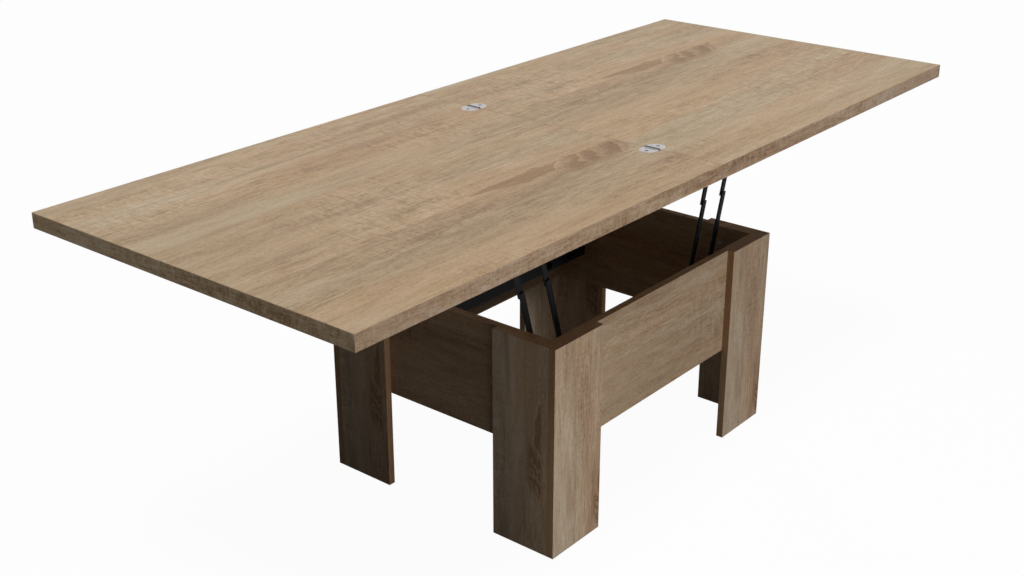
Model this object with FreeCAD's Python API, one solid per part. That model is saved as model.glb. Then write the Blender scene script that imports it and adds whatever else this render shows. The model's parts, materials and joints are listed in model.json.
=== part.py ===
import FreeCAD, Part
import math
import os

# A coffee table that lifts and folds out into a dining table, shown raised and open.
# Millimetres, +Z up, +X along the long side, origin on the floor under the middle.
# Left is -X, right is +X, front is -Y, back is +Y.

# Top
table_height = 741.0
leaf_length = 1000.0
leaf_width = 800.0
leaf_thickness = 30.0
edge_band = 1.0
edge_round = 0.8
seam_gap = 0.3

# Base
base_length = 788.0
base_width = 598.0
leg_height = 459.0
leg_wing = 153.0
leg_board = 16.0
apron_board = 16.0
apron_height = 240.0

# Glides under the legs, and dowels in the corners of the frame
glide_diameter = 14.0
glide_height = 1.0
glide_peg_diameter = 5.0
glide_peg_length = 10.0
dowel_diameter = 8.0
dowel_in_side = 10.0
dowel_in_end = 20.0
dowel_from_edge = 65.0
rest_gap = 0.3

# Lifting arms
pivot_below_rim = 155.0
arm_rim_gap = 8.1
arm_spacing = 80.5
arm_width = 13.0
arm_thickness = 4.0
arm_eye_rim = 2.0
arm_lap_along = 240.0
arm_lap = 12.0
eye_under_leaf = 1.0
pivot_bolt_diameter = 8.0
pivot_bolt_head = 13.0
pivot_bolt_head_height = 3.0
pivot_nut_across = 13.0
pivot_nut_height = 4.0

# Lower rails and their brackets
rail_plane = 193.0
rail_thickness = 5.0
rail_height = 40.0
pivot_above_rail_edge = 10.5
washer_diameter = 16.0
washer_thickness = 1.0
stop_pin_diameter = 8.0
stop_pin_tail = 5.0
stop_pin_along = 20.0
stop_gap = 0.25
bracket_thickness = 4.0
bracket_flange = 34.0
bracket_plate = 40.0
bracket_pin_gap = 2.0
bracket_bolt_diameter = 6.0
bracket_bolt_head = 10.0
bracket_bolt_head_height = 2.5

# Rails under the left leaf, and the support frame under the right leaf
profile_thickness = 3.0
profile_height = 24.0
profile_flange = 22.0
profile_end_gap = 22.0
profile_tail_gap = 62.0
rivet_diameter = 8.0
rivet_head = 12.0
rivet_head_height = 2.0
rivet_head_gap = 0.7
cross_bar_width = 30.0
cross_bar_inset = 12.0
slide_pad_diameter = 18.0
slide_pad_height = 2.0
slide_pads_per_rail = 3

# Flap hinges
hinge_length = 65.0
hinge_width = 40.0
hinge_plate = 2.5
hinge_spread = 470.0
fold_axis_rise = 0.4
knuckle_radius = 2.2
knuckle_length = 34.0
knuckle_gap = 0.3
hinge_pin_radius = 1.15
hinge_screw_inset = 12.0

# Clearances
fit = 0.05
side_gap = 0.1
arm_side_gap = 0.4
turning_gap = 0.4
pocket_gap = 0.1

# Countersunk screws: head radius, shank radius, head depth, length
hinge_screw = (3.4, 1.7, 1.7, 16.0)
profile_screw = (4.0, 2.0, 2.0, 18.0)
bracket_screw = (4.5, 2.25, 2.2, 16.0)
leg_screw = (4.5, 2.5, 2.2, 26.0)
leg_screw_from_edge = 45.0
leg_screw_from_rim = 40.0
bracket_screw_pitch = 20.0
profile_screws_per_rail = 4
profile_screw_from_end = 30.0

# Heights
leaf_bottom = table_height - leaf_thickness
apron_bottom = leg_height - apron_height
rest_height = leg_height + rest_gap
lift = leaf_bottom - rest_height
shift = leaf_length / 2

# Arm eyes and the pivots' heights
arm_eye = arm_width / 2 + arm_eye_rim
eye_drop = arm_eye + eye_under_leaf
rivet_drop = slide_pad_height + rest_gap + profile_thickness + rivet_head / 2 + rivet_head_gap
pivot_drop = max(eye_drop, rivet_drop)
pivot_height = leg_height - pivot_below_rim

# Arm swing: the raised arms lean outwards, and lowering swings them inwards by the top's lift and shift
arm_rise = leaf_bottom - pivot_drop - pivot_height
arm_reach = arm_rise * ((lift ** 2 + shift ** 2) / (2 * arm_rise) - lift) / shift
arm_length = math.hypot(arm_rise, arm_reach)
raised_lean = math.degrees(math.atan2(arm_reach, arm_rise))
lowered_lean = raised_lean + 2 * math.degrees(math.atan2(lift, shift))
swing = raised_lean + lowered_lean
lean_sine = arm_reach / arm_length
lean_cosine = arm_rise / arm_length

# Planes across the table, as distances from the middle
leg_inner_x = base_length / 2 - leg_board
leg_inner_y = base_width / 2 - leg_board
apron_inner_x = leg_inner_x - apron_board
apron_inner_y = leg_inner_y - apron_board
stop_pin_out = arm_width / 2 + stop_gap + stop_pin_diameter / 2
stop_pin_reach = stop_pin_along * lean_sine + stop_pin_out * lean_cosine + stop_pin_diameter / 2
rim_reach = (pivot_below_rim * lean_sine + arm_width / 2) / lean_cosine
clear_of_rim = apron_inner_x - arm_rim_gap - rim_reach
clear_of_bracket = apron_inner_x - bracket_flange - bracket_pin_gap - stop_pin_reach
outer_pivot = min(clear_of_rim, clear_of_bracket)
inner_pivot = outer_pivot - arm_spacing
rail_outer = rail_plane + rail_thickness / 2
rail_inner = rail_plane - rail_thickness / 2
rail_bottom = pivot_height - pivot_above_rail_edge
rail_top = rail_bottom + rail_height
washer_space = washer_thickness + 2 * side_gap
left_arm_inner = rail_outer + washer_space
left_arm_outer = left_arm_inner + arm_thickness
right_arm_outer = rail_inner - washer_space
right_arm_inner = right_arm_outer - arm_thickness
left_bar_inner = left_arm_inner - arm_thickness
right_bar_inner = right_arm_inner - arm_thickness
leaf_rail_inner = left_arm_inner + arm_side_gap
support_outer = right_bar_inner - arm_side_gap
support_inner = support_outer - profile_thickness

# Rails under the top, as distances from the seam when raised
profile_start = shift - apron_inner_x + profile_end_gap
profile_end = shift + apron_inner_x - profile_tail_gap
support_top = leaf_bottom - slide_pad_height - rest_gap
fold_axis = table_height + fold_axis_rise

ENDS = {"left": -1, "right": 1}
SIDES = {"front": -1, "back": 1}
Y_AXIS = (0, 1, 0)
nodes = {}


def box(x0, x1, y0, y1, z0, z1):
    low = FreeCAD.Vector(min(x0, x1), min(y0, y1), min(z0, z1))
    return Part.makeBox(abs(x1 - x0), abs(y1 - y0), abs(z1 - z0), low)


def rod(radius, start, direction, length):
    return Part.makeCylinder(radius, length, FreeCAD.Vector(*start), FreeCAD.Vector(*direction))


def cross_rod(radius, x, z, y0, y1):
    return rod(radius, (x, min(y0, y1), z), Y_AXIS, abs(y1 - y0))


def screw(size, point, direction, slack=0.0):
    head_radius, shank_radius, head_depth, length = size
    start = FreeCAD.Vector(*point)
    axis = FreeCAD.Vector(*direction)
    head = Part.makeCone(head_radius + slack, shank_radius + slack, head_depth, start, axis)
    return head.fuse(rod(shank_radius + slack, point, direction, length + slack)).removeSplitter()


def joined(shapes):
    return shapes[0].fuse(shapes[1:]).removeSplitter()


def spread(first, last, count):
    return [first + (last - first) * step / (count - 1) for step in range(count)]


def along_arm(end, pivot, along, outward):
    """A point of the X-Z plane, measured along a raised arm and outwards from its middle line."""
    x = pivot + along * lean_sine + outward * lean_cosine
    z = pivot_height + along * lean_cosine - outward * lean_sine
    return end * x, z


# Corner legs: two upright boards each, screwed to the aprons from inside
leg_screws = []
glides = []
dowels = []
aprons = {}
for side, y_sign in SIDES.items():
    aprons[side] = box(-leg_inner_x, leg_inner_x, y_sign * apron_inner_y, y_sign * leg_inner_y,
                       apron_bottom, leg_height)
for end, x_sign in ENDS.items():
    aprons[end] = box(x_sign * apron_inner_x, x_sign * leg_inner_x, -apron_inner_y, apron_inner_y,
                      apron_bottom, leg_height)

for end, x_sign in ENDS.items():
    for side, y_sign in SIDES.items():
        for height in (apron_bottom + dowel_from_edge, leg_height - dowel_from_edge):
            middle_x = x_sign * (apron_inner_x + apron_board / 2)
            first = y_sign * (apron_inner_y - dowel_in_end)
            last = y_sign * (apron_inner_y + dowel_in_side)
            dowels.append(cross_rod(dowel_diameter / 2, middle_x, height, first, last))
            hole = cross_rod(dowel_diameter / 2 + fit, middle_x, height, first, last)
            for name in (end, side):
                aprons[name] = aprons[name].cut(hole)


def add_glide(board, x, y):
    disc = rod(glide_diameter / 2, (x, y, 0), (0, 0, 1), glide_height)
    peg = rod(glide_peg_diameter / 2, (x, y, 0), (0, 0, 1), glide_height + glide_peg_length)
    glides.append(joined([disc, peg]))
    hole = rod(glide_peg_diameter / 2 + fit, (x, y, 0), (0, 0, 1), glide_height + glide_peg_length + fit)
    return board.cut(hole)


def add_leg_screws(board, apron_name, place, direction):
    for height in (apron_bottom + leg_screw_from_rim, leg_height - leg_screw_from_rim):
        point = (place[0], place[1], height)
        leg_screws.append(screw(leg_screw, point, direction))
        hole = screw(leg_screw, point, direction, fit)
        aprons[apron_name] = aprons[apron_name].cut(hole)
        board = board.cut(hole)
    return board


for end, x_sign in ENDS.items():
    for side, y_sign in SIDES.items():
        corner_x = x_sign * base_length / 2
        corner_y = y_sign * base_width / 2
        wing_x = corner_x - x_sign * leg_wing
        wing_y = corner_y - y_sign * leg_wing
        middle_x = (corner_x + wing_x) / 2
        middle_y = (corner_y + wing_y) / 2
        face_y = corner_y - y_sign * leg_board / 2
        face_x = corner_x - x_sign * leg_board / 2

        long_board = box(corner_x, wing_x, corner_y, y_sign * leg_inner_y, glide_height, leg_height)
        long_board = add_glide(long_board, middle_x, face_y)
        screw_place = (wing_x + x_sign * leg_screw_from_edge, y_sign * apron_inner_y)
        long_board = add_leg_screws(long_board, side, screw_place, (0, y_sign, 0))

        end_board = box(corner_x, x_sign * leg_inner_x, y_sign * leg_inner_y, wing_y, glide_height, leg_height)
        end_board = add_glide(end_board, face_x, middle_y)
        screw_place = (x_sign * apron_inner_x, wing_y + y_sign * leg_screw_from_edge)
        end_board = add_leg_screws(end_board, end, screw_place, (x_sign, 0, 0))

        nodes[f"leg_{end}_{side}_long_board"] = long_board
        nodes[f"leg_{end}_{side}_end_board"] = end_board

nodes["leg_screws"] = Part.makeCompound(leg_screws)
nodes["foot_glides"] = Part.makeCompound(glides)
nodes["apron_dowels"] = Part.makeCompound(dowels)


def hexagon(across, x, z, y0, y1):
    corner = across / math.sqrt(3)
    turns = [math.radians(60 * step) for step in range(7)]
    points = [FreeCAD.Vector(x + corner * math.cos(turn), y0, z + corner * math.sin(turn)) for turn in turns]
    return Part.Face(Part.makePolygon(points)).extrude(FreeCAD.Vector(0, y1 - y0, 0))


def add_pivot_bolt(x, y_head, y_nut, way):
    """A shouldered bolt through arm, washer and rail; way points from its head to its nut."""
    shank_end = y_nut + way * pivot_nut_height
    shank = cross_rod(pivot_bolt_diameter / 2, x, pivot_height, y_head, shank_end)
    head = cross_rod(pivot_bolt_head / 2, x, pivot_height, y_head - way * pivot_bolt_head_height, y_head)
    pivot_bolts.append(joined([shank, head]))
    nut = hexagon(pivot_nut_across, x, pivot_height, y_nut, shank_end)
    pivot_nuts.append(nut.cut(cross_rod(pivot_bolt_diameter / 2 + fit, x, pivot_height, y_nut, shank_end)))


# Lower rails, each hung on a bracket at both end aprons
bracket_screws = []
bracket_bolts = []
stop_pins = []
washers = []
pivot_bolts = []
pivot_nuts = []
for side, y_sign in SIDES.items():
    rail_end = apron_inner_x - bracket_thickness
    rail = box(-rail_end, rail_end, y_sign * rail_inner, y_sign * rail_outer, rail_bottom, rail_top)
    rail_middle = (rail_bottom + rail_top) / 2
    for end, x_sign in ENDS.items():
        plate = box(x_sign * apron_inner_x, x_sign * rail_end, y_sign * rail_inner,
                    y_sign * (rail_outer + bracket_plate), rail_bottom, rail_top)
        flange = box(x_sign * rail_end, x_sign * (apron_inner_x - bracket_flange), y_sign * rail_outer,
                     y_sign * (rail_outer + bracket_thickness), rail_bottom, rail_top)
        bracket = joined([plate, flange])
        for step in (-0.5, 0.5):
            point = (x_sign * rail_end, y_sign * (rail_outer + (bracket_plate + bracket_thickness) / 2),
                     rail_middle + step * bracket_screw_pitch)
            bracket_screws.append(screw(bracket_screw, point, (x_sign, 0, 0)))
            hole = screw(bracket_screw, point, (x_sign, 0, 0), fit)
            bracket = bracket.cut(hole)
            aprons[end] = aprons[end].cut(hole)

        bolt_x = x_sign * (rail_end - (bracket_flange - bracket_thickness) / 2)
        bolt_inner = y_sign * rail_inner
        bolt_outer = y_sign * (rail_outer + bracket_thickness)
        head_step = y_sign * bracket_bolt_head_height
        shank = cross_rod(bracket_bolt_diameter / 2, bolt_x, rail_middle, bolt_inner, bolt_outer)
        heads = [cross_rod(bracket_bolt_head / 2, bolt_x, rail_middle, bolt_inner - head_step, bolt_inner),
                 cross_rod(bracket_bolt_head / 2, bolt_x, rail_middle, bolt_outer, bolt_outer + head_step)]
        bracket_bolts.append(joined([shank] + heads))
        hole = cross_rod(bracket_bolt_diameter / 2 + fit, bolt_x, rail_middle, bolt_inner, bolt_outer)
        bracket = bracket.cut(hole)
        rail = rail.cut(hole)
        nodes[f"rail_bracket_{end}_{side}"] = bracket

        # The left arms run on the outer face of the rail, the right arms on its inner face
        arm_face, nut_face = (rail_outer, rail_inner) if end == "left" else (rail_inner, rail_outer)
        arm_way = y_sign if end == "left" else -y_sign
        washer_start = y_sign * arm_face + arm_way * side_gap
        washer_end = washer_start + arm_way * washer_thickness
        head_face = y_sign * arm_face + arm_way * (washer_space + arm_thickness + side_gap)
        for pivot in (outer_pivot, inner_pivot):
            x = x_sign * pivot
            hole = cross_rod(pivot_bolt_diameter / 2 + fit, x, pivot_height,
                             y_sign * rail_inner, y_sign * rail_outer)
            rail = rail.cut(hole)
            ring = cross_rod(washer_diameter / 2, x, pivot_height, washer_start, washer_end)
            washers.append(ring.cut(cross_rod(pivot_bolt_diameter / 2 + side_gap, x, pivot_height,
                                              washer_start, washer_end)))
            add_pivot_bolt(x, head_face, y_sign * nut_face, -arm_way)

        pin_x, pin_z = along_arm(x_sign, outer_pivot, stop_pin_along, stop_pin_out)
        pin_face = y_sign * arm_face
        pin_tip = pin_face + arm_way * (washer_space + arm_thickness)
        tail = cross_rod(stop_pin_tail / 2, pin_x, pin_z, y_sign * rail_inner, y_sign * rail_outer)
        stop_pins.append(joined([cross_rod(stop_pin_diameter / 2, pin_x, pin_z, pin_face, pin_tip), tail]))
        rail = rail.cut(cross_rod(stop_pin_tail / 2 + fit, pin_x, pin_z,
                                  y_sign * rail_inner, y_sign * rail_outer))
    nodes[f"lower_rail_{side}"] = rail

for name, apron in aprons.items():
    nodes[f"apron_{name}"] = apron
nodes["bracket_screws"] = Part.makeCompound(bracket_screws)
nodes["bracket_bolts"] = Part.makeCompound(bracket_bolts)
nodes["stop_pins"] = Part.makeCompound(stop_pins)
nodes["pivot_washers"] = Part.makeCompound(washers)
nodes["pivot_bolts"] = Part.makeCompound(pivot_bolts)
nodes["pivot_nuts"] = Part.makeCompound(pivot_nuts)


def lifting_arm(end, pivot, y_inner, y_lap, y_outer):
    """Two flat bars, the upper one lapped on the inside of the lower one, with an eye at each end."""
    half = arm_width / 2
    lower_bar = box(-half, half, y_lap, y_outer, 0, arm_lap_along + arm_lap / 2)
    upper_bar = box(-half, half, y_inner, y_lap, arm_lap_along - arm_lap / 2, arm_length)
    eyes = [cross_rod(arm_eye, 0, 0, y_lap, y_outer), cross_rod(arm_eye, 0, arm_length, y_inner, y_lap)]
    arm = joined([lower_bar, upper_bar] + eyes)
    arm = arm.cut(cross_rod(pivot_bolt_diameter / 2 + fit, 0, 0, y_lap, y_outer))
    arm = arm.cut(cross_rod(rivet_diameter / 2 + fit, 0, arm_length, y_inner, y_lap))
    arm.rotate(FreeCAD.Vector(0, 0, 0), FreeCAD.Vector(*Y_AXIS), end * raised_lean)
    arm.translate(FreeCAD.Vector(end * pivot, 0, pivot_height))
    return arm


# Arms, each on a bolt through its rail
arm_planes = {"left": (left_bar_inner, left_arm_inner, left_arm_outer),
              "right": (right_bar_inner, right_arm_inner, right_arm_outer)}
for end, x_sign in ENDS.items():
    for row, pivot in (("outer", outer_pivot), ("inner", inner_pivot)):
        for side, y_sign in SIDES.items():
            planes = [y_sign * plane for plane in arm_planes[end]]
            nodes[f"{end}_{row}_arm_{side}"] = lifting_arm(x_sign, pivot, *planes)


def angle_profile(end, y_web, y_back, y_edge, top):
    """An angle section along X: a web that hangs down, and a flange under the top."""
    x0 = end * profile_start
    x1 = end * profile_end
    web = box(x0, x1, y_web, y_back, top - profile_height, top)
    flange = box(x0, x1, y_web, y_edge, top - profile_thickness, top)
    return joined([web, flange])


def pivot_rivet(x, y_head, y_tail, way):
    """A shoulder rivet: a low head beside the arm, and a peened end beyond the rail."""
    height = pivot_height + arm_rise
    head_step = way * rivet_head_height
    shank = cross_rod(rivet_diameter / 2, x, height, y_head, y_tail)
    head = cross_rod(rivet_head / 2, x, height, y_head - head_step, y_head)
    peen = cross_rod(rivet_head / 2, x, height, y_tail, y_tail + head_step)
    return joined([shank, head, peen])


upper_pivots = (outer_pivot + arm_reach, inner_pivot + arm_reach)
rivet_height = pivot_height + arm_rise
screw_rows = spread(profile_start + profile_screw_from_end, profile_end - profile_screw_from_end,
                    profile_screws_per_rail)

# Top: two leaves, with the flap hinges let in flush across the seam
leaves = {}
for end, x_sign in ENDS.items():
    seam = x_sign * seam_gap / 2
    tip = x_sign * leaf_length
    half = leaf_width / 2
    outside = box(seam, tip, -half, half, leaf_bottom, table_height)
    free_edges = [edge for edge in outside.Edges if abs(edge.CenterOfMass.x) > seam_gap]
    outside = outside.makeFillet(edge_round, free_edges)
    inside = box(seam + x_sign * edge_band, tip - x_sign * edge_band, -half + edge_band, half - edge_band,
                 leaf_bottom, table_height)
    leaves[end] = {"core": inside, "band": outside.cut(inside)}


def hinge_outline(end, y, grow, z0, z1):
    """Half of the hinge's stadium outline, on one side of the seam."""
    radius = hinge_width / 2
    centre = end * (hinge_length / 2 - radius)
    disc = rod(radius + grow, (centre, y, z0), (0, 0, 1), z1 - z0)
    bar = box(0, centre, y - radius - grow, y + radius + grow, z0, z1)
    seam_side = box(0, end * hinge_length, y - hinge_width, y + hinge_width, z0, z1)
    return joined([disc, bar]).common(seam_side)


def knuckle(y, length, radius):
    return cross_rod(radius, 0, fold_axis, y - length / 2, y + length / 2)


hinge_pins = []
hinge_screws = {"left": [], "right": []}
barrel = (knuckle_length - 2 * knuckle_gap) / 3
barrel_pitch = barrel + knuckle_gap
plate_bottom = table_height - hinge_plate
for side, y_sign in SIDES.items():
    y = y_sign * hinge_spread / 2
    outer_barrels = [y - barrel_pitch, y + barrel_pitch]
    barrels = {"left": outer_barrels, "right": [y]}
    spaces = {"left": [y], "right": outer_barrels}
    for end, x_sign in ENDS.items():
        plate = hinge_outline(x_sign, y, 0, plate_bottom, table_height)
        plate = plate.cut(box(0, x_sign * seam_gap / 2, y - hinge_width, y + hinge_width,
                              plate_bottom, table_height))
        for middle in spaces[end]:
            plate = plate.cut(knuckle(middle, barrel + 2 * knuckle_gap, knuckle_radius + turning_gap))
        plate = joined([plate] + [knuckle(middle, barrel, knuckle_radius) for middle in barrels[end]])
        plate = plate.cut(knuckle(y, knuckle_length, hinge_pin_radius + fit))

        screw_point = (x_sign * (hinge_length / 2 - hinge_screw_inset), y, table_height)
        hinge_screws[end].append(screw(hinge_screw, screw_point, (0, 0, -1)))
        screw_hole = screw(hinge_screw, screw_point, (0, 0, -1), fit)
        nodes[f"hinge_plate_{end}_{side}"] = plate.cut(screw_hole)

        pocket = hinge_outline(x_sign, y, pocket_gap, plate_bottom, table_height)
        groove = knuckle(y, knuckle_length + 2 * turning_gap, knuckle_radius + turning_gap)
        for layer in leaves[end]:
            leaves[end][layer] = leaves[end][layer].cut([pocket, groove, screw_hole])
    hinge_pins.append(knuckle(y, knuckle_length, hinge_pin_radius))

nodes["hinge_pins"] = Part.makeCompound(hinge_pins)
for end in ENDS:
    nodes[f"hinge_screws_{end}"] = Part.makeCompound(hinge_screws[end])

# Rails under the left leaf, on the outside of the left arms
leaf_rivets = []
leaf_rail_screws = []
for side, y_sign in SIDES.items():
    web = y_sign * leaf_rail_inner
    back = y_sign * (leaf_rail_inner + profile_thickness)
    edge = y_sign * (leaf_rail_inner + profile_flange)
    rail = angle_profile(-1, web, back, edge, leaf_bottom)
    for pivot in upper_pivots:
        leaf_rivets.append(pivot_rivet(-pivot, y_sign * (left_bar_inner - side_gap), back, y_sign))
        rail = rail.cut(cross_rod(rivet_diameter / 2 + fit, -pivot, rivet_height, web, back))
    for row in screw_rows:
        point = (-row, (back + edge) / 2, leaf_bottom - profile_thickness)
        leaf_rail_screws.append(screw(profile_screw, point, (0, 0, 1)))
        hole = screw(profile_screw, point, (0, 0, 1), fit)
        rail = rail.cut(hole)
        leaves["left"]["core"] = leaves["left"]["core"].cut(hole)
    nodes[f"leaf_rail_{side}"] = rail
nodes["leaf_rivets"] = Part.makeCompound(leaf_rivets)
nodes["leaf_rail_screws"] = Part.makeCompound(leaf_rail_screws)

for end, layers in leaves.items():
    nodes[f"{end}_leaf"] = layers["core"]
    nodes[f"{end}_leaf_edge_band"] = layers["band"]

# Support frame on the inside of the right arms: the opened right leaf lies on its slide pads
support_rivets = []
slide_pads = []
for side, y_sign in SIDES.items():
    web = y_sign * support_outer
    back = y_sign * support_inner
    edge = y_sign * (support_outer - profile_flange)
    rail = angle_profile(1, web, back, edge, support_top)
    for pivot in upper_pivots:
        support_rivets.append(pivot_rivet(pivot, y_sign * (right_arm_inner + side_gap), back, -y_sign))
        rail = rail.cut(cross_rod(rivet_diameter / 2 + fit, pivot, rivet_height, web, back))
    nodes[f"support_rail_{side}"] = rail
    first_pad = profile_start + slide_pad_diameter
    last_pad = profile_end - slide_pad_diameter
    for x in spread(first_pad, last_pad, slide_pads_per_rail):
        slide_pads.append(rod(slide_pad_diameter / 2, (x, (back + edge) / 2, support_top), (0, 0, 1),
                              slide_pad_height))
nodes["support_rivets"] = Part.makeCompound(support_rivets)
nodes["slide_pads"] = Part.makeCompound(slide_pads)

bar_top = support_top - profile_thickness
for place, start in (("inner", profile_start + cross_bar_inset),
                     ("outer", profile_end - cross_bar_inset - cross_bar_width)):
    nodes[f"support_cross_bar_{place}"] = box(start, start + cross_bar_width, -support_inner, support_inner,
                                              bar_top - profile_thickness, bar_top)

os.makedirs("parts", exist_ok=True)
for name, shape in nodes.items():
    shape.exportStep(f"parts/{name}.step")
print(len(nodes), "nodes; lean", round(raised_lean, 4), "swing", round(swing, 4))
print("lower pivots at", round(outer_pivot, 4), round(inner_pivot, 4), "height", round(pivot_height, 4))
print("upper pivots out by", round(arm_reach, 4), "up by", round(arm_rise, 4), "fold axis", fold_axis)
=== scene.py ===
import json
import math

import bpy
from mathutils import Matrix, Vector

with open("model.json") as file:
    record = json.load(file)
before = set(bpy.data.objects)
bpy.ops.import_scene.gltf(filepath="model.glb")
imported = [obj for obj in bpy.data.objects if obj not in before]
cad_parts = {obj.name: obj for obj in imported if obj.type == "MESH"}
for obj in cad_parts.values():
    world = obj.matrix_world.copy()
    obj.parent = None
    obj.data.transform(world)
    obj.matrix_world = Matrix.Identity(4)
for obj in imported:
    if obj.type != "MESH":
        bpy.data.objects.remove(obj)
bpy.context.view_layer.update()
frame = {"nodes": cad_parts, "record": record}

# Camera: a 50 mm view from the left front, solved from the corners of the top and the legs
CAMERA_PLACE = (-2.2827, -1.7400, 1.6007)
CAMERA_AZIMUTH = -50.72
CAMERA_ELEVATION = 23.16
CAMERA_LENS = 49.97
SENSOR_WIDTH = 36.0

# Light: soft suns overhead, low in front and low behind, and two lamps in front on the left
TOP_FROM = (-0.24, -0.12, 1.0)
TOP_STRENGTH = 1.76
TOP_SOFTNESS = 20.0
LOW_FROM = (-0.02, -1.0, 0.08)
LOW_STRENGTH = 1.02
LOW_SOFTNESS = 14.0
BACK_FROM = (0.75, 1.0, 0.12)
BACK_STRENGTH = 1.30
BACK_SOFTNESS = 25.0
LAMP_SIZE = 0.40
FRONT_PLACE = (-0.20, -2.00, 0.30)
FRONT_AIM = (0.10, 0.00, 0.20)
FRONT_POWER = 4.6
SIDE_PLACE = (-0.62, -0.66, 0.25)
SIDE_AIM = (-0.39, -0.22, 0.23)
SIDE_POWER = 0.42

# Sky: its level behind and in front, where along Y it changes over, and its level in reflections
SKY_BACK = 0.005
SKY_FRONT = 0.06
SKY_BACK_FROM = 0.5
SKY_FRONT_FROM = -0.8
SKY_SHINE = 1.0

# Floor: the share that glows white to the camera, the tone that takes the shadow, and what it throws back
FLOOR_SIZE = 30.0
FLOOR_GLOW = 0.96
FLOOR_TONE = 0.95
FLOOR_BOUNCE = 0.10

# Oak print: how often each pattern repeats in a metre, along the grain and across it
BAND_SCALE = (1.1, 9.0)
STREAK_SCALE = (6.5, 50.0)
DASH_SCALE = (24.0, 190.0)
DASH_FIELD_SCALE = (1.6, 8.0)
SPECK_SCALE = (120.0, 460.0)
PORE_SCALE = (40.0, 480.0)
RIPPLE_SCALE = (75.0, 26.0)
RIPPLE_FIELD_SCALE = (2.4, 5.5)
WARMTH_SCALE = (0.9, 9.0)
BROWN_SCALE = (2.4, 34.0)
BAND_STROKE_SCALE = (170.0, 170.0, 34.0)

# Axes and origin of the print, and the starts of patterns that are read from elsewhere in the noise
AXES = "XYZ"
ORIGIN = (0.0, 0.0, 0.0)
DASH_FIELD_START = (7.3, 5.9, 2.4)
WARMTH_START = (3.1, 1.7, 5.3)
BROWN_START = (1.3, 4.1, 2.2)
SWAY_START = (4.0, 2.0, 7.0)

# Oak surface
TONE_LEVEL = -0.69
EDGE_SHARE = 0.70
OAK_ROUGHNESS = 0.52
OAK_BUMP = 0.3
OAK_RELIEF = 0.0006
TOP_SHINE = 0.26
FRAME_SHINE = 0.02

# Tints of the boards against the plain print
PLAIN = (1.0, 1.0, 1.0, 1.0)
TOP_TINT = (1.0, 0.97, 0.94, 1.0)
# The legs' and aprons' tints darken and cool the print: partly the boards' own tone, partly painted cool
# shade under the top
LEG_TONE_AND_SHADE = (0.85, 0.87, 1.00, 1.0)
APRON_TONE_AND_SHADE = (0.76, 0.74, 0.79, 1.0)
BAND_TINT = (0.89, 0.83, 0.90, 1.0)
BAND_END_TINT = (1.0, 0.97, 1.0, 1.0)
FLAME_TINT = (0.60, 0.51, 0.41, 1.0)

# Where each board is cut from the print: the folding leaf further along and across the other leaf's sheet
SHEET_SHIFT = (0.818, 0.300, 0.0)
BAND_SHIFT = (0.3, 0.2, 0.1)
LONG_APRON_SHIFT = (0.7, 0.1, 0.4)
END_APRON_SHIFT = (0.2, 0.6, 0.4)

# Flames: the tail's start, the length along the grain, the straight side's place, and the way in from it
TOP_FLAME = {"tail": -0.459, "length": 0.269, "side": -0.135, "turn": 1}

# The legs' small flames run down their boards
LONG_BOARD_FLAME = {"tail": 0.160, "length": -0.085, "side": 0.004, "turn": 1}
END_BOARD_FLAME = {"tail": 0.340, "length": -0.120, "side": 0.016, "turn": -1}

# Shape of a flame, in shares of its length, and the strength of its parts
FLAME_WANDER = 0.10
LOBE_SLANT = 0.95
LOBE_SWAY = 0.50
LOBES_PER_LENGTH = 4.2
TONGUE_LENGTH = 0.40
TONGUE_DEPTH = 0.125
TONGUE_STRENGTH = 0.85
WASH_STRENGTH = 0.42
ROOT_STRENGTH = 0.70

# Metal and plastic
COAT_SHINE = 0.08
COAT_ROUGHNESS = 0.46
NICKEL_ROUGHNESS = 0.34
NICKEL_BRUSH = (60.0, 1600.0, 60.0)
ZINC_ROUGHNESS = 0.45
ZINC_BRUSH = (300.0, 300.0, 300.0)
# Width, either side of the seam, of the painted shade line on the hinge knuckles
SEAM_SHADE_LINE = 0.0022
PLASTIC_ROUGHNESS = 0.6


def colour(red, green, blue):
    """A colour written in 0-255 screen values, as the linear values that the shaders take."""
    def linear(value):
        share = value / 255
        if share <= 0.04045:
            return share / 12.92
        return ((share + 0.055) / 1.055) ** 2.4
    return (linear(red), linear(green), linear(blue), 1.0)


PALE_OAK = (
    (0.00, colour(132, 105, 77)),
    (0.30, colour(171, 145, 113)),
    (0.50, colour(189, 166, 131)),
    (0.70, colour(200, 180, 148)),
    (1.00, colour(216, 200, 176)),
)
WARM_OAK = (
    (0.00, colour(126, 98, 70)),
    (0.30, colour(170, 138, 106)),
    (0.50, colour(193, 161, 123)),
    (0.70, colour(205, 176, 140)),
    (1.00, colour(219, 198, 172)),
)
STREAK_BROWN = colour(166, 136, 106)
EDGE_BROWN = colour(152, 114, 78)
BLACK_COAT = ((0.3, colour(11, 11, 13)), (0.75, colour(19, 19, 21)))
NICKEL = ((0.3, colour(158, 155, 155)), (0.7, colour(204, 200, 199)))
DARK_ZINC = ((0.3, colour(48, 48, 51)), (0.7, colour(68, 68, 71)))
DARK_PLASTIC = ((0.3, colour(44, 41, 38)), (0.7, colour(58, 54, 50)))
# Painted shade: the black put on the hinge knuckles where the gap between the leaves is in shade
SEAM_SHADE_BLACK = colour(38, 38, 42)


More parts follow.
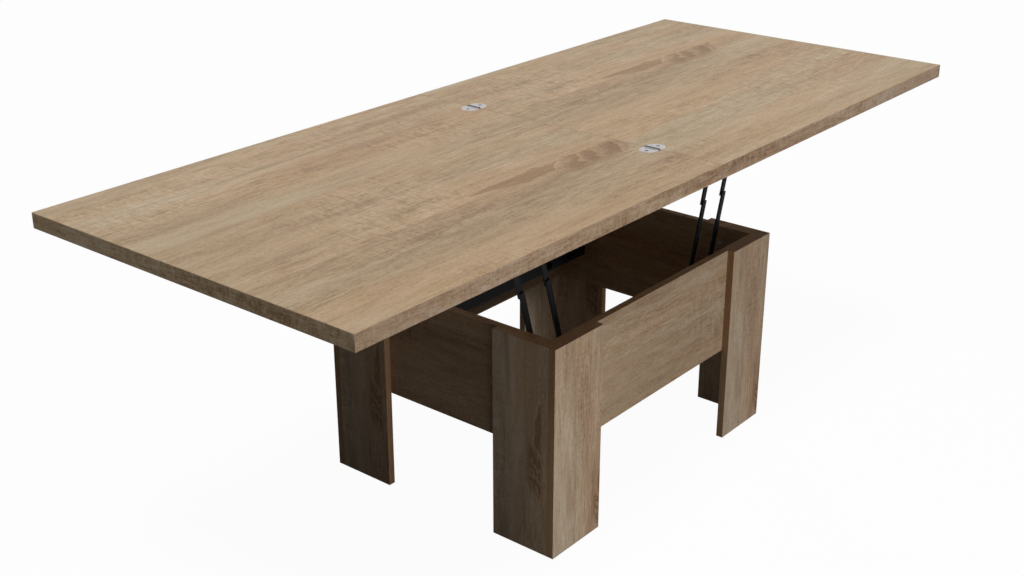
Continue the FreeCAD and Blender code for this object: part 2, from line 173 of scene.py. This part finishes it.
class Graph:
    """A material's node tree, with short calls for the nodes that the finishes here use."""

    def __init__(self, name):
        self.material = bpy.data.materials.new(name)
        self.material.use_nodes = True
        self.tree = self.material.node_tree
        self.shader = self.tree.nodes["Principled BSDF"]

    def node(self, kind, **settings):
        made = self.tree.nodes.new(kind)
        for key, value in settings.items():
            setattr(made, key, value)
        return made

    def feed(self, socket, value):
        if isinstance(value, bpy.types.NodeSocket):
            self.tree.links.new(value, socket)
        else:
            socket.default_value = value

    def math(self, operation, first, second=0.0):
        made = self.node("ShaderNodeMath", operation=operation)
        self.feed(made.inputs[0], first)
        self.feed(made.inputs[1], second)
        return made.outputs[0]

    def times(self, first, *others):
        """The product of all the values."""
        product = first
        for value in others:
            product = self.math("MULTIPLY", product, value)
        return product

    def centred(self, noise):
        return self.math("SUBTRACT", noise, 0.5)

    def scaled_sum(self, *terms):
        """The sum of (value, weight) pairs."""
        total = 0.0
        for value, weight in terms:
            made = self.node("ShaderNodeMath", operation="MULTIPLY_ADD")
            self.feed(made.inputs[0], value)
            made.inputs[1].default_value = weight
            self.feed(made.inputs[2], total)
            total = made.outputs[0]
        return total

    def coordinates(self, output="Object"):
        return self.node("ShaderNodeTexCoord").outputs[output]

    def mapped(self, vector, scale, offset=ORIGIN):
        made = self.node("ShaderNodeMapping")
        self.feed(made.inputs["Vector"], vector)
        made.inputs["Scale"].default_value = scale
        made.inputs["Location"].default_value = offset
        return made.outputs["Vector"]

    def split(self, vector):
        made = self.node("ShaderNodeSeparateXYZ")
        self.feed(made.inputs[0], vector)
        return made.outputs

    def facing(self, axis):
        """How squarely the surface faces along an axis, either way."""
        return self.math("ABSOLUTE", self.split(self.coordinates("Normal"))[AXES.index(axis)])

    def noise(self, vector, scale=1.0, detail=4.0, roughness=0.55, distortion=0.0):
        made = self.node("ShaderNodeTexNoise")
        self.feed(made.inputs["Vector"], vector)
        made.inputs["Scale"].default_value = scale
        made.inputs["Detail"].default_value = detail
        made.inputs["Roughness"].default_value = roughness
        made.inputs["Distortion"].default_value = distortion
        return made.outputs["Fac"]

    def span(self, value, low, high, to_low=0.0, to_high=1.0):
        """A smooth step between two values."""
        made = self.node("ShaderNodeMapRange", interpolation_type="SMOOTHSTEP")
        self.feed(made.inputs["Value"], value)
        made.inputs["From Min"].default_value = low
        made.inputs["From Max"].default_value = high
        made.inputs["To Min"].default_value = to_low
        made.inputs["To Max"].default_value = to_high
        return made.outputs["Result"]

    def hump(self, value, rise, fall):
        """A smooth step up between one pair of values, and down again between another."""
        return self.times(self.span(value, *rise), self.span(value, *fall))

    def ratio(self, value, high):
        """The value's share of a limit, from 0 to 1."""
        made = self.node("ShaderNodeMapRange")
        self.feed(made.inputs["Value"], value)
        made.inputs["From Max"].default_value = high
        return made.outputs["Result"]

    def ramp(self, value, stops):
        made = self.node("ShaderNodeValToRGB")
        self.feed(made.inputs[0], value)
        points = made.color_ramp.elements
        while len(points) < len(stops):
            points.new(1.0)
        for point, (place, tone) in zip(points, stops):
            point.position = place
            point.color = tone
        return made.outputs["Color"]

    def mix(self, factor, first, second, blend="MIX"):
        made = self.node("ShaderNodeMix", data_type="RGBA", blend_type=blend)
        self.feed(made.inputs["Factor"], factor)
        self.feed(made.inputs[6], first)
        self.feed(made.inputs[7], second)
        return made.outputs[2]

    def tinted(self, tone, tint, share=1.0):
        return self.mix(share, tone, tint, blend="MULTIPLY")

    def blend(self, factor, first, second):
        made = self.node("ShaderNodeMix", data_type="FLOAT")
        self.feed(made.inputs["Factor"], factor)
        self.feed(made.inputs[2], first)
        self.feed(made.inputs[3], second)
        return made.outputs[0]

    def paint(self, tone):
        self.feed(self.shader.inputs["Base Color"], tone)

    def roughen(self, pattern, weight, level):
        self.feed(self.shader.inputs["Roughness"], self.scaled_sum((pattern, weight), (1.0, level)))

    def bump(self, height, strength, distance):
        made = self.node("ShaderNodeBump")
        self.feed(made.inputs["Height"], height)
        made.inputs["Strength"].default_value = strength
        made.inputs["Distance"].default_value = distance
        self.feed(self.shader.inputs["Normal"], made.outputs["Normal"])


def board_place(graph, shift):
    """Coordinates on the print, for a board that is cut from it at a shift."""
    return graph.mapped(graph.coordinates(), (1.0, 1.0, 1.0), tuple(-value for value in shift))


def grained(graph, place, grain, scale, start=ORIGIN, **settings):
    """Noise that is drawn out along the grain."""
    along, across = scale
    stretch = tuple(along if axis == grain else across for axis in AXES)
    return graph.noise(graph.mapped(place, stretch, start), **settings)


def oak_tone(graph, place, grain):
    """The printed oak's lightness and relief: bands, streaks, dashes, sandy specks, pores and ripples."""
    bands = grained(graph, place, grain, BAND_SCALE, detail=2.0, distortion=0.3)
    streaks = grained(graph, place, grain, STREAK_SCALE, detail=3.0, distortion=0.8)
    dashes = grained(graph, place, grain, DASH_SCALE, detail=3.0, roughness=0.6)
    dash_field = grained(graph, place, grain, DASH_FIELD_SCALE, DASH_FIELD_START, detail=1.0)
    dash = graph.times(graph.centred(dashes), graph.span(dash_field, 0.36, 0.62, to_low=0.35))
    specks = grained(graph, place, grain, SPECK_SCALE, detail=2.0, roughness=0.6)
    pores = graph.span(grained(graph, place, grain, PORE_SCALE, detail=2.0), 0.60, 0.72)
    ripples = grained(graph, place, grain, RIPPLE_SCALE, detail=2.0, distortion=1.2)
    ripple_field = grained(graph, place, grain, RIPPLE_FIELD_SCALE, detail=1.0)
    ripple = graph.times(graph.centred(ripples), graph.span(ripple_field, 0.46, 0.66))
    tone = graph.scaled_sum((bands, 1.00), (streaks, 0.62), (dash, 1.00), (specks, 0.80), (pores, -0.20),
                            (ripple, 0.85), (1.0, TONE_LEVEL))
    relief = graph.scaled_sum((dashes, 0.5), (specks, 0.4), (pores, -0.6))
    return tone, relief


def flame_figure(graph, place, grain, face, flame):
    """The brown figure of a flat-sawn board: a tongue under a straight side, then a row of slanting lobes."""
    parts = graph.split(place)
    along_axis = AXES.index(grain)
    across_axis = 3 - along_axis - AXES.index(face)
    length = flame["length"]
    size = abs(length)
    wander = graph.noise(graph.mapped(place, (5.0 / size,) * 3), detail=3.0, roughness=0.6)
    sway = graph.noise(graph.mapped(place, (6.0 / size,) * 3, SWAY_START), detail=3.0)

    # Places on the figure: along it from the tail, in from its side, and along it on the lobes' slant
    course = graph.scaled_sum((parts[along_axis], 1 / length), (1.0, -flame["tail"] / length))
    inward = flame["turn"] / size
    depth = graph.scaled_sum((parts[across_axis], -inward), (1.0, flame["side"] * inward),
                             (wander, FLAME_WANDER), (1.0, -FLAME_WANDER / 2))
    slanted = graph.scaled_sum((course, 1.0), (depth, LOBE_SLANT), (sway, LOBE_SWAY), (1.0, -LOBE_SWAY / 2))

    tongue_depth = graph.times(graph.ratio(course, TONGUE_LENGTH), TONGUE_DEPTH)
    tongue = graph.times(graph.span(graph.math("SUBTRACT", depth, tongue_depth), 0.015, -0.015),
                         graph.span(slanted, 1.0, 0.97))
    phase = graph.math("FRACT", graph.scaled_sum((slanted, LOBES_PER_LENGTH), (1.0, -LOBES_PER_LENGTH)))
    lobes = graph.times(graph.hump(phase, (-0.20, 0.75), (1.0, 0.92)), graph.span(depth, 0.38, 0.18),
                        graph.hump(slanted, (0.99, 1.01), (1.86, 1.80)))
    under_side = graph.span(depth, -0.010, 0.010)
    sharp = graph.times(under_side, graph.math("MAXIMUM", graph.times(tongue, TONGUE_STRENGTH), lobes))

    wash = graph.times(graph.hump(depth, (0.12, 0.24), (0.46, 0.26)),
                       graph.hump(course, (-0.4, 0.7), (1.7, 1.2)))
    root = graph.times(graph.hump(depth, (0.14, 0.22), (0.34, 0.26)),
                       graph.hump(course, (0.75, 0.95), (1.65, 1.30)))
    soft = graph.math("MAXIMUM", graph.times(wash, WASH_STRENGTH), graph.times(root, ROOT_STRENGTH))
    return graph.math("MAXIMUM", sharp, soft)


def finish_oak(graph, relief, shine):
    graph.roughen(relief, -0.10, OAK_ROUGHNESS)
    graph.shader.inputs["Specular IOR Level"].default_value = shine
    graph.bump(relief, OAK_BUMP, OAK_RELIEF)


def oak(name, grain, face, shift=ORIGIN, flame=None, tint=PLAIN, shine=FRAME_SHINE):
    """Printed oak laminate on a board's two faces, with a browner band round its edges."""
    graph = Graph(name)
    place = board_place(graph, shift)
    tone, relief = oak_tone(graph, place, grain)
    warmth = grained(graph, place, grain, WARMTH_SCALE, WARMTH_START, detail=2.0)
    warm_share = graph.span(warmth, 0.36, 0.64)
    print_colour = graph.mix(warm_share, graph.ramp(tone, PALE_OAK), graph.ramp(tone, WARM_OAK))
    brown = grained(graph, place, grain, BROWN_SCALE, BROWN_START, detail=3.0, distortion=0.6)
    print_colour = graph.mix(graph.span(brown, 0.52, 0.74, to_high=0.55), print_colour, STREAK_BROWN)
    if flame:
        print_colour = graph.tinted(print_colour, FLAME_TINT, flame_figure(graph, place, grain, face, flame))
    print_colour = graph.tinted(print_colour, tint)
    on_edge = graph.span(graph.facing(face), 0.6, 0.4)
    graph.paint(graph.mix(on_edge, print_colour, graph.mix(EDGE_SHARE, print_colour, EDGE_BROWN)))
    finish_oak(graph, relief, shine)
    return graph.material


def oak_band(name, shift):
    """The band round a leaf, with its grain along each edge and short pale strokes up and down it."""
    graph = Graph(name)
    place = board_place(graph, shift)
    long_tone, long_relief = oak_tone(graph, place, "X")
    end_tone, end_relief = oak_tone(graph, place, "Y")
    at_end = graph.span(graph.facing("X"), 0.4, 0.6)
    strokes = graph.span(graph.noise(graph.mapped(place, BAND_STROKE_SCALE), detail=2.0), 0.50, 0.68)
    tone = graph.scaled_sum((graph.blend(at_end, long_tone, end_tone), 1.25), (strokes, 0.16), (1.0, -0.16))
    graph.paint(graph.tinted(graph.ramp(tone, PALE_OAK), graph.mix(at_end, BAND_TINT, BAND_END_TINT)))
    finish_oak(graph, graph.blend(at_end, long_relief, end_relief), FRAME_SHINE)
    return graph.material


def black_coat():
    """Black powder coat, with a fine orange-peel skin."""
    graph = Graph("black_powder_coat")
    skin = graph.noise(graph.coordinates(), scale=1400.0, detail=2.0)
    dust = graph.noise(graph.coordinates(), scale=30.0, detail=4.0)
    graph.paint(graph.ramp(dust, BLACK_COAT))
    graph.roughen(skin, 0.16, COAT_ROUGHNESS)
    graph.shader.inputs["Specular IOR Level"].default_value = COAT_SHINE
    graph.bump(skin, strength=0.25, distance=0.0002)
    return graph.material


def brushed_metal(name, tones, roughness, brush, seam_shade_line=None):
    """Plated steel with fine brush lines; a painted shade line, where given, blackens the knuckles at the
    seam, where the gap between the leaves lies in shade.
    """
    graph = Graph(name)
    lines = graph.noise(graph.mapped(graph.coordinates(), brush), detail=3.0, roughness=0.6)
    clouds = graph.noise(graph.coordinates(), scale=60.0, detail=3.0)
    tone = graph.ramp(graph.scaled_sum((lines, 0.6), (clouds, 0.4)), tones)
    if seam_shade_line:
        # Painted shade: the knuckles are blackened near the seam, where the gap between the leaves lies in
        # shade
        off_seam = graph.math("ABSOLUTE", graph.split(graph.coordinates())[0])
        tone = graph.mix(graph.span(off_seam, seam_shade_line, 0.8 * seam_shade_line), tone, SEAM_SHADE_BLACK)
    graph.paint(tone)
    graph.roughen(lines, 0.15, roughness)
    graph.shader.inputs["Metallic"].default_value = 1.0
    graph.bump(lines, strength=0.15, distance=0.0001)
    return graph.material


def dark_plastic():
    """Moulded plastic of the glides and pads."""
    graph = Graph("dark_plastic")
    grain = graph.noise(graph.coordinates(), scale=900.0, detail=2.0)
    graph.paint(graph.ramp(grain, DARK_PLASTIC))
    graph.shader.inputs["Roughness"].default_value = PLASTIC_ROUGHNESS
    graph.bump(grain, strength=0.2, distance=0.0002)
    return graph.material


def dress(material, *names):
    for name in names:
        mesh = frame["nodes"][name].data
        mesh.materials.clear()
        mesh.materials.append(material)


def named(*starts):
    return [name for name in frame["nodes"] if name.startswith(starts)]


def placed(name, data):
    """An object made from the data and put in the scene."""
    made = bpy.data.objects.new(name, data)
    bpy.context.scene.collection.objects.link(made)
    return made


# Finishes
dress(oak("oak_top_left", "X", "Z", flame=TOP_FLAME, tint=TOP_TINT, shine=TOP_SHINE), "left_leaf")
dress(oak("oak_top_right", "X", "Z", SHEET_SHIFT, TOP_FLAME, TOP_TINT, TOP_SHINE), "right_leaf")
dress(oak_band("oak_leaf_band", BAND_SHIFT), "left_leaf_edge_band", "right_leaf_edge_band")
# The aprons and legs take tints that are partly their own tone and partly painted cool shade under the top
dress(oak("oak_apron_long", "X", "Y", LONG_APRON_SHIFT, tint=APRON_TONE_AND_SHADE), "apron_front", "apron_back")
dress(oak("oak_apron_end", "Y", "X", END_APRON_SHIFT, tint=APRON_TONE_AND_SHADE), "apron_left", "apron_right")
dress(oak("dowel_wood", "Y", "Y"), "apron_dowels")
for name in named("leg_left", "leg_right"):
    corners = frame["nodes"][name].bound_box
    low_x = min(corner[0] for corner in corners)
    high_x = max(corner[0] for corner in corners)
    low_y = min(corner[1] for corner in corners)
    if name.endswith("long_board"):
        board = oak(f"oak_{name}", "Z", "Y", (high_x, low_y, 0.0), LONG_BOARD_FLAME, LEG_TONE_AND_SHADE)
    else:
        board = oak(f"oak_{name}", "Z", "X", (low_x, low_y, 0.0), END_BOARD_FLAME, LEG_TONE_AND_SHADE)
    dress(board, name)
steel = black_coat()
for node in frame["record"]["subparts"]:
    if node["material_slot"] == "black_steel":
        dress(steel, node["node"])
nickel_with_seam_shade = brushed_metal("hinge_nickel_seam_shade", NICKEL, NICKEL_ROUGHNESS, NICKEL_BRUSH, seam_shade_line=SEAM_SHADE_LINE)
dress(nickel_with_seam_shade, *named("hinge_plate", "hinge_pins"))
dark_zinc = brushed_metal("dark_zinc", DARK_ZINC, ZINC_ROUGHNESS, ZINC_BRUSH)
dress(dark_zinc, "leg_screws", "leaf_rail_screws", "pivot_washers", *named("hinge_screws"))
dress(dark_plastic(), "foot_glides", "slide_pads")

# Floor: pale to the camera and in reflections, with a light shadow, and dim in what it throws back
floor_mesh = bpy.data.meshes.new("floor")
half = FLOOR_SIZE / 2
floor_corners = [(-half, -half, 0), (half, -half, 0), (half, half, 0), (-half, half, 0)]
floor_mesh.from_pydata(floor_corners, [], [(0, 1, 2, 3)])
floor = placed("floor", floor_mesh)
ground = Graph("floor")
out = ground.tree.nodes["Material Output"]
ground.tree.nodes.remove(ground.shader)
rays = ground.node("ShaderNodeLightPath").outputs
glow = ground.node("ShaderNodeEmission")
shadow_catch = ground.node("ShaderNodeBsdfDiffuse")
shadow_catch.inputs["Color"].default_value = (FLOOR_TONE, FLOOR_TONE, FLOOR_TONE, 1.0)
pale = ground.node("ShaderNodeMixShader")
pale.inputs["Fac"].default_value = FLOOR_GLOW
ground.feed(pale.inputs[1], shadow_catch.outputs[0])
ground.feed(pale.inputs[2], glow.outputs[0])
dim = ground.node("ShaderNodeBsdfDiffuse")
dim.inputs["Color"].default_value = (FLOOR_BOUNCE, FLOOR_BOUNCE, FLOOR_BOUNCE, 1.0)
either = ground.node("ShaderNodeMixShader")
ground.feed(either.inputs["Fac"], ground.math("MAXIMUM", rays["Is Camera Ray"], rays["Is Glossy Ray"]))
ground.feed(either.inputs[1], dim.outputs[0])
ground.feed(either.inputs[2], pale.outputs[0])
ground.feed(out.inputs["Surface"], either.outputs[0])
floor_mesh.materials.append(ground.material)

# World: white to the camera, and a soft sky for the table that is brighter in front
world = bpy.data.worlds.new("studio")
bpy.context.scene.world = world
world.use_nodes = True
sky = world.node_tree
background = sky.nodes["Background"]
background.inputs["Color"].default_value = (1.0, 1.0, 1.0, 1.0)
sky_rays = sky.nodes.new("ShaderNodeLightPath").outputs
direction = sky.nodes.new("ShaderNodeSeparateXYZ")
sky.links.new(sky.nodes.new("ShaderNodeTexCoord").outputs["Generated"], direction.inputs[0])


def sky_level(value, low, high, at_low, at_high):
    """A level that goes from one to another, either of them a number or a socket, as the value does."""
    made = sky.nodes.new("ShaderNodeMapRange")
    sky.links.new(value, made.inputs["Value"])
    made.inputs["From Min"].default_value = low
    made.inputs["From Max"].default_value = high
    for socket, level in (("To Min", at_low), ("To Max", at_high)):
        if isinstance(level, bpy.types.NodeSocket):
            sky.links.new(level, made.inputs[socket])
        else:
            made.inputs[socket].default_value = level
    return made.outputs["Result"]


soft_sky = sky_level(direction.outputs["Y"], SKY_BACK_FROM, SKY_FRONT_FROM, SKY_BACK, SKY_FRONT)
shining_sky = sky_level(sky_rays["Is Glossy Ray"], 0.0, 1.0, soft_sky, SKY_SHINE)
white_sky = sky_level(sky_rays["Is Camera Ray"], 0.0, 1.0, shining_sky, 1.0)
sky.links.new(white_sky, background.inputs["Strength"])


def add_sun(name, source, strength, softness, shines=True):
    lamp = bpy.data.lights.new(name, "SUN")
    lamp.energy = strength
    lamp.angle = math.radians(softness)
    sun = placed(name, lamp)
    tilt = math.atan2(math.hypot(source[0], source[1]), source[2])
    sun.rotation_euler = (tilt, 0.0, math.atan2(source[0], -source[1]))
    sun.visible_glossy = shines


def add_lamp(name, place, aim, power):
    lamp = bpy.data.lights.new(name, "AREA")
    lamp.energy = power
    lamp.size = LAMP_SIZE
    panel = placed(name, lamp)
    panel.location = place
    panel.rotation_euler = (Vector(aim) - Vector(place)).to_track_quat("-Z", "Y").to_euler()
    panel.visible_camera = False


# Lamps and camera
add_sun("top_light", TOP_FROM, TOP_STRENGTH, TOP_SOFTNESS)
add_sun("low_light", LOW_FROM, LOW_STRENGTH, LOW_SOFTNESS)
add_sun("back_light", BACK_FROM, BACK_STRENGTH, BACK_SOFTNESS, shines=False)
add_lamp("front_light", FRONT_PLACE, FRONT_AIM, FRONT_POWER)
add_lamp("side_light", SIDE_PLACE, SIDE_AIM, SIDE_POWER)
lens = bpy.data.cameras.new("camera")
lens.lens = CAMERA_LENS
lens.sensor_width = SENSOR_WIDTH
camera = placed("camera", lens)
camera.location = CAMERA_PLACE
camera.rotation_euler = (math.radians(90.0 - CAMERA_ELEVATION), 0.0, math.radians(CAMERA_AZIMUTH))
bpy.context.scene.camera = camera
bpy.context.scene.view_settings.view_transform = "Standard"
